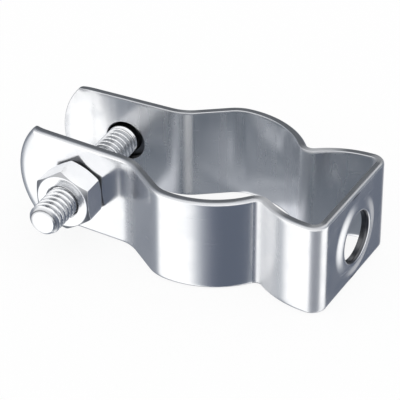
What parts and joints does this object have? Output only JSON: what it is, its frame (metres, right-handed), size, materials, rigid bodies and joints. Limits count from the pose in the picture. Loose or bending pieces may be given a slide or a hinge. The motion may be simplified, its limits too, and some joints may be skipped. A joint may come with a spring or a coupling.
{
  "type": "clip clamp",
  "caption": "Bent steel strap clamp for a round pipe: a bow between two ears drawn together by a hex bolt and nut, and a flat end plate with a raised fixing hole.",
  "frame": {"origin": "centre of the pipe seat: on the pipe's axis at the middle of the strap's width", "axes": "+Z along the pipe's axis across the strap's width, +X from the pipe to the fixing plate, the ears and their bolt on the -X side, the nut on the -Y side"},
  "size_m": [0.0685, 0.0413, 0.019],
  "materials": {
    "strap_zinc": "bright zinc-plated sheet steel, nearly mirror smooth",
    "bolt_zinc": "bright zinc-plated steel with a rolled thread",
    "nut_zinc": "bright zinc-plated steel"
  },
  "bodies": {
    "root": {"strap": "strap_zinc", "bolt": "bolt_zinc", "nut": "nut_zinc"}
  },
  "joints": []
}
